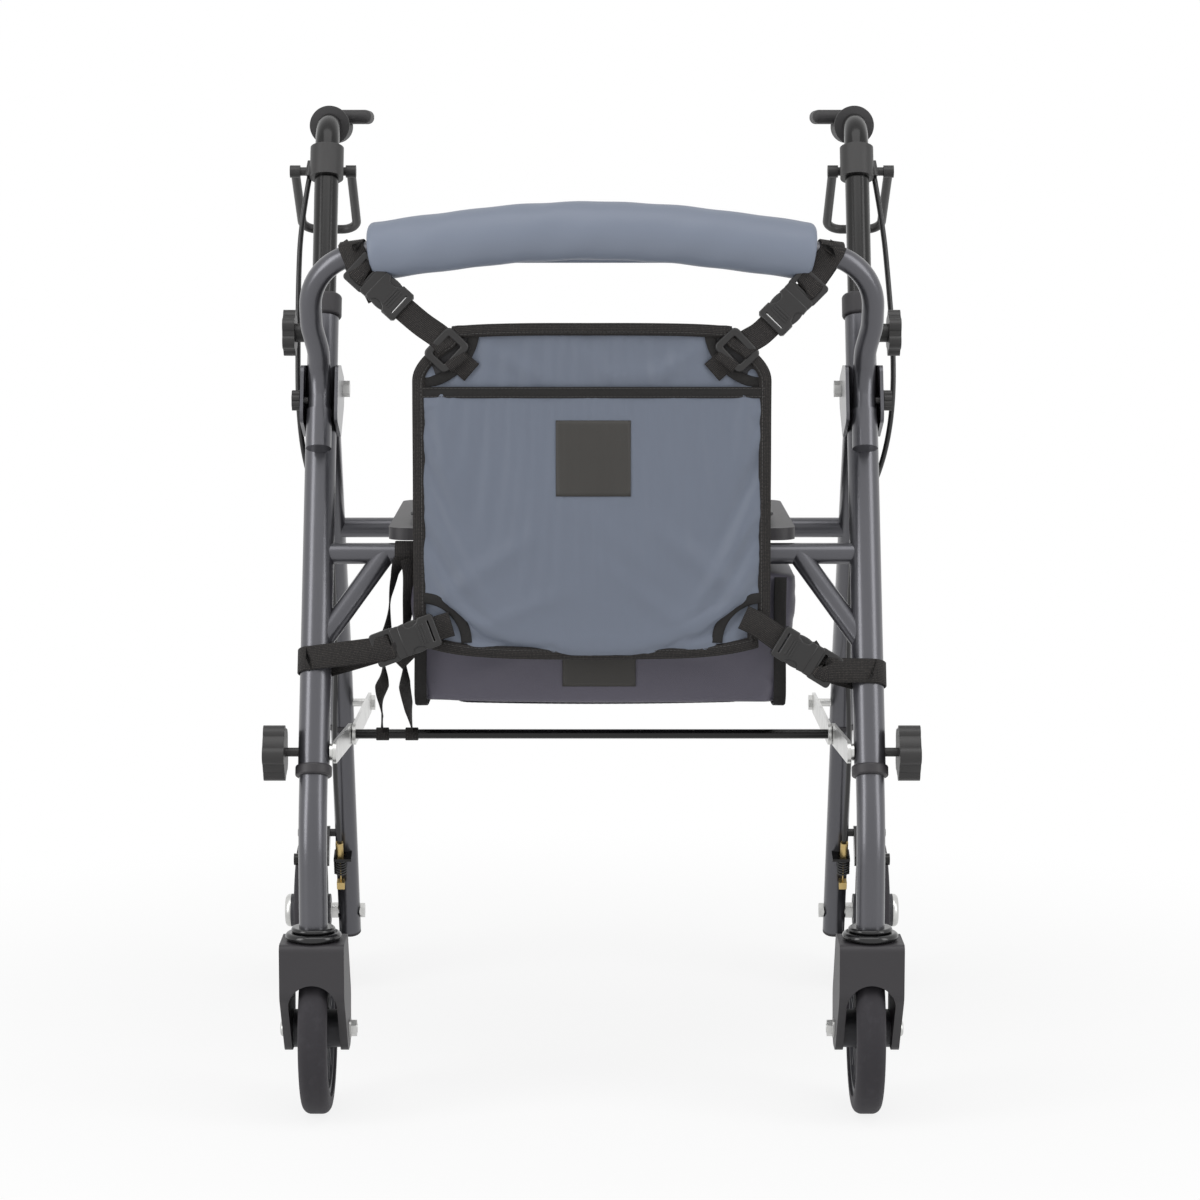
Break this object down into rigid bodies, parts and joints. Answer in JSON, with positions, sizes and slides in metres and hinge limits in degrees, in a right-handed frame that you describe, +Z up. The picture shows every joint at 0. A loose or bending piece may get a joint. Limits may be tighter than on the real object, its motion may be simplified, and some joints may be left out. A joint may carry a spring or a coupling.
{
  "type": "four-wheeled folding walker",
  "caption": "Folding wheeled walker with a seat, backrest hoop, tote panel, hand brakes and swivelling front wheels.",
  "frame": {"origin": "on the floor, midway between the front and rear wheels and between left and right", "axes": "+Z up, the walker's front faces -Y, +X is to the right seen from the front"},
  "size_m": [0.636, 0.6564, 0.8995],
  "materials": {
    "gunmetal_tube": "metallic gunmetal paint",
    "black_tube": "gloss black paint",
    "black_plastic": "fine-grained charcoal plastic",
    "bearing_plastic": "gloss black",
    "zinc": "bright zinc plate",
    "brass": "plain brass",
    "tyre": "dark grey solid tyre",
    "foam_vinyl": "blue-grey vinyl over foam",
    "tote_cloth": "blue-grey nylon",
    "bag_cloth": "dark grey nylon",
    "webbing": "woven black webbing",
    "hub_plastic": "dark grey moulded hub",
    "brake_steel": "black painted steel",
    "cable_jacket": "black jacket"
  },
  "bodies": {
    "front_frame": {"main_tubes": "gunmetal_tube", "front_lower_legs": "gunmetal_tube", "front_leg_collars": "black_plastic", "front_crossbar": "gunmetal_tube", "backrest_sockets": "gunmetal_tube", "backrest_hoop": "gunmetal_tube", "backrest_pad": "foam_vinyl", "hinge_brackets": "gunmetal_tube", "frame_bolts": "zinc", "handle_collars": "black_plastic", "caster_bearings": "bearing_plastic", "tote_bag": "tote_cloth", "tote_straps": "webbing", "under_seat_bag": "bag_cloth", "pull_strap": "webbing", "brake_cable_left": "cable_jacket", "brake_cable_right": "cable_jacket"},
    "rear_frame": {"rear_upper_tubes": "gunmetal_tube", "rear_lower_legs": "gunmetal_tube", "rear_crossbar": "gunmetal_tube", "rear_leg_trim": "black_plastic", "rear_bolts": "zinc", "brake_brackets": "brake_steel", "brake_springs": "brake_steel", "cable_clamps": "brass"},
    "seat": {"seat_pan": "black_plastic", "seat_cushion": "foam_vinyl"},
    "front_fold_link": {"front_fold_links": "zinc", "fold_rod": "brake_steel"},
    "rear_fold_link": {"rear_fold_links": "zinc"},
    "caster_left": {"caster_fork_left": "black_plastic", "caster_axle_left": "zinc"},
    "front_wheel_left": {"tyre_front_left": "tyre", "hub_front_left": "hub_plastic"},
    "rear_wheel_left": {"tyre_rear_left": "tyre", "hub_rear_left": "hub_plastic"},
    "handle_left": {"handle_tube_left": "black_tube", "grip_left": "black_plastic", "brake_housing_left": "black_plastic"},
    "brake_lever_body_left": {"brake_lever_left": "brake_steel"},
    "brake_arm_body_left": {"brake_arm_left": "brake_steel"},
    "leg_knob_body_left": {"leg_knob_left": "black_plastic"},
    "handle_knob_body_left": {"handle_knob_left": "black_plastic"},
    "backrest_knob_body_left": {"backrest_knob_left": "black_plastic"},
    "caster_right": {"caster_fork_right": "black_plastic", "caster_axle_right": "zinc"},
    "front_wheel_right": {"tyre_front_right": "tyre", "hub_front_right": "hub_plastic"},
    "rear_wheel_right": {"tyre_rear_right": "tyre", "hub_rear_right": "hub_plastic"},
    "handle_right": {"handle_tube_right": "black_tube", "grip_right": "black_plastic", "brake_housing_right": "black_plastic"},
    "brake_lever_body_right": {"brake_lever_right": "brake_steel"},
    "brake_arm_body_right": {"brake_arm_right": "brake_steel"},
    "leg_knob_body_right": {"leg_knob_right": "black_plastic"},
    "handle_knob_body_right": {"handle_knob_right": "black_plastic"},
    "backrest_knob_body_right": {"backrest_knob_right": "black_plastic"}
  },
  "joints": [
    {"name": "rear_frame_fold", "type": "hinge", "parent": "front_frame", "child": "rear_frame", "pos_m": [0, -0.102, 0.64], "axis": [-1, 0, 0], "range_deg": [0, 32], "deforming": ["brake_cable_left", "brake_cable_right", "under_seat_bag"]},
    {"name": "front_link_fold", "type": "hinge", "parent": "front_frame", "child": "front_fold_link", "pos_m": [0, -0.26549, 0.329], "axis": [1, 0, 0], "range_deg": [0, 41.6], "deforming": ["pull_strap"]},
    {"name": "rear_link_fold", "type": "hinge", "parent": "front_fold_link", "child": "rear_fold_link", "pos_m": [0, -0.072, 0.314], "axis": [-1, 0, 0], "range_deg": [0, 117.3]},
    {"name": "seat_flip", "type": "hinge", "parent": "front_frame", "child": "seat", "pos_m": [0, -0.19549, 0.498], "axis": [1, 0, 0], "range_deg": [0, 66]},
    {"name": "caster_swivel_left", "type": "hinge", "parent": "front_frame", "child": "caster_left", "pos_m": [-0.2455, -0.292, 0.166], "axis": [0, 0, 1], "continuous": true},
    {"name": "front_wheel_spin_left", "type": "hinge", "parent": "caster_left", "child": "front_wheel_left", "pos_m": [-0.2455, -0.252, 0.0762], "axis": [1, 0, 0], "continuous": true},
    {"name": "rear_wheel_spin_left", "type": "hinge", "parent": "rear_frame", "child": "rear_wheel_left", "pos_m": [-0.2915, 0.252, 0.0762], "axis": [1, 0, 0], "continuous": true},
    {"name": "handle_height_left", "type": "slide", "parent": "front_frame", "child": "handle_left", "axis": [0, 0.3827, 0.9239], "range_m": [-0.1, 0.04], "deforming": ["brake_cable_left"]},
    {"name": "brake_lever_squeeze_left", "type": "hinge", "parent": "handle_left", "child": "brake_lever_body_left", "pos_m": [-0.2455, -0.03286, 0.83835], "axis": [1, 0, 0], "range_deg": [0, 16], "stiffness_Nm_per_rad": 0.6, "springref_deg": -28.65},
    {"name": "brake_shoe_press_left", "type": "hinge", "parent": "rear_frame", "child": "brake_arm_body_left", "pos_m": [-0.252, 0.21556, 0.165], "axis": [1, 0, 0], "range_deg": [0, 3.3]},
    {"name": "leg_knob_turn_left", "type": "hinge", "parent": "front_frame", "child": "leg_knob_body_left", "pos_m": [-0.2455, -0.26549, 0.329], "axis": [1, 0, 0], "continuous": true},
    {"name": "handle_knob_turn_left", "type": "hinge", "parent": "front_frame", "child": "handle_knob_body_left", "pos_m": [-0.2455, -0.11513, 0.692], "axis": [1, 0, 0], "continuous": true},
    {"name": "backrest_knob_turn_left", "type": "hinge", "parent": "front_frame", "child": "backrest_knob_body_left", "pos_m": [-0.2455, -0.16639, 0.63357], "axis": [1, 0, 0], "continuous": true},
    {"name": "caster_swivel_right", "type": "hinge", "parent": "front_frame", "child": "caster_right", "pos_m": [0.2455, -0.292, 0.166], "axis": [0, 0, 1], "continuous": true},
    {"name": "front_wheel_spin_right", "type": "hinge", "parent": "caster_right", "child": "front_wheel_right", "pos_m": [0.2455, -0.252, 0.0762], "axis": [1, 0, 0], "continuous": true},
    {"name": "rear_wheel_spin_right", "type": "hinge", "parent": "rear_frame", "child": "rear_wheel_right", "pos_m": [0.2915, 0.252, 0.0762], "axis": [1, 0, 0], "continuous": true},
    {"name": "handle_height_right", "type": "slide", "parent": "front_frame", "child": "handle_right", "axis": [0, 0.3827, 0.9239], "range_m": [-0.1, 0.04], "deforming": ["brake_cable_right"]},
    {"name": "brake_lever_squeeze_right", "type": "hinge", "parent": "handle_right", "child": "brake_lever_body_right", "pos_m": [0.2455, -0.03286, 0.83835], "axis": [1, 0, 0], "range_deg": [0, 16], "stiffness_Nm_per_rad": 0.6, "springref_deg": -28.65},
    {"name": "brake_shoe_press_right", "type": "hinge", "parent": "rear_frame", "child": "brake_arm_body_right", "pos_m": [0.252, 0.21556, 0.165], "axis": [1, 0, 0], "range_deg": [0, 3.3]},
    {"name": "leg_knob_turn_right", "type": "hinge", "parent": "front_frame", "child": "leg_knob_body_right", "pos_m": [0.2455, -0.26549, 0.329], "axis": [1, 0, 0], "continuous": true},
    {"name": "handle_knob_turn_right", "type": "hinge", "parent": "front_frame", "child": "handle_knob_body_right", "pos_m": [0.2455, -0.11513, 0.692], "axis": [1, 0, 0], "continuous": true},
    {"name": "backrest_knob_turn_right", "type": "hinge", "parent": "front_frame", "child": "backrest_knob_body_right", "pos_m": [0.2455, -0.16639, 0.63357], "axis": [1, 0, 0], "continuous": true}
  ],
  "couplings": [
    {"joint": "front_link_fold", "follows": "rear_frame_fold", "ratio": 1.2849},
    {"joint": "rear_link_fold", "follows": "rear_frame_fold", "ratio": 3.6501},
    {"joint": "brake_shoe_press_left", "follows": "brake_lever_squeeze_left", "ratio": 0.2},
    {"joint": "brake_shoe_press_right", "follows": "brake_lever_squeeze_right", "ratio": 0.2}
  ]
}
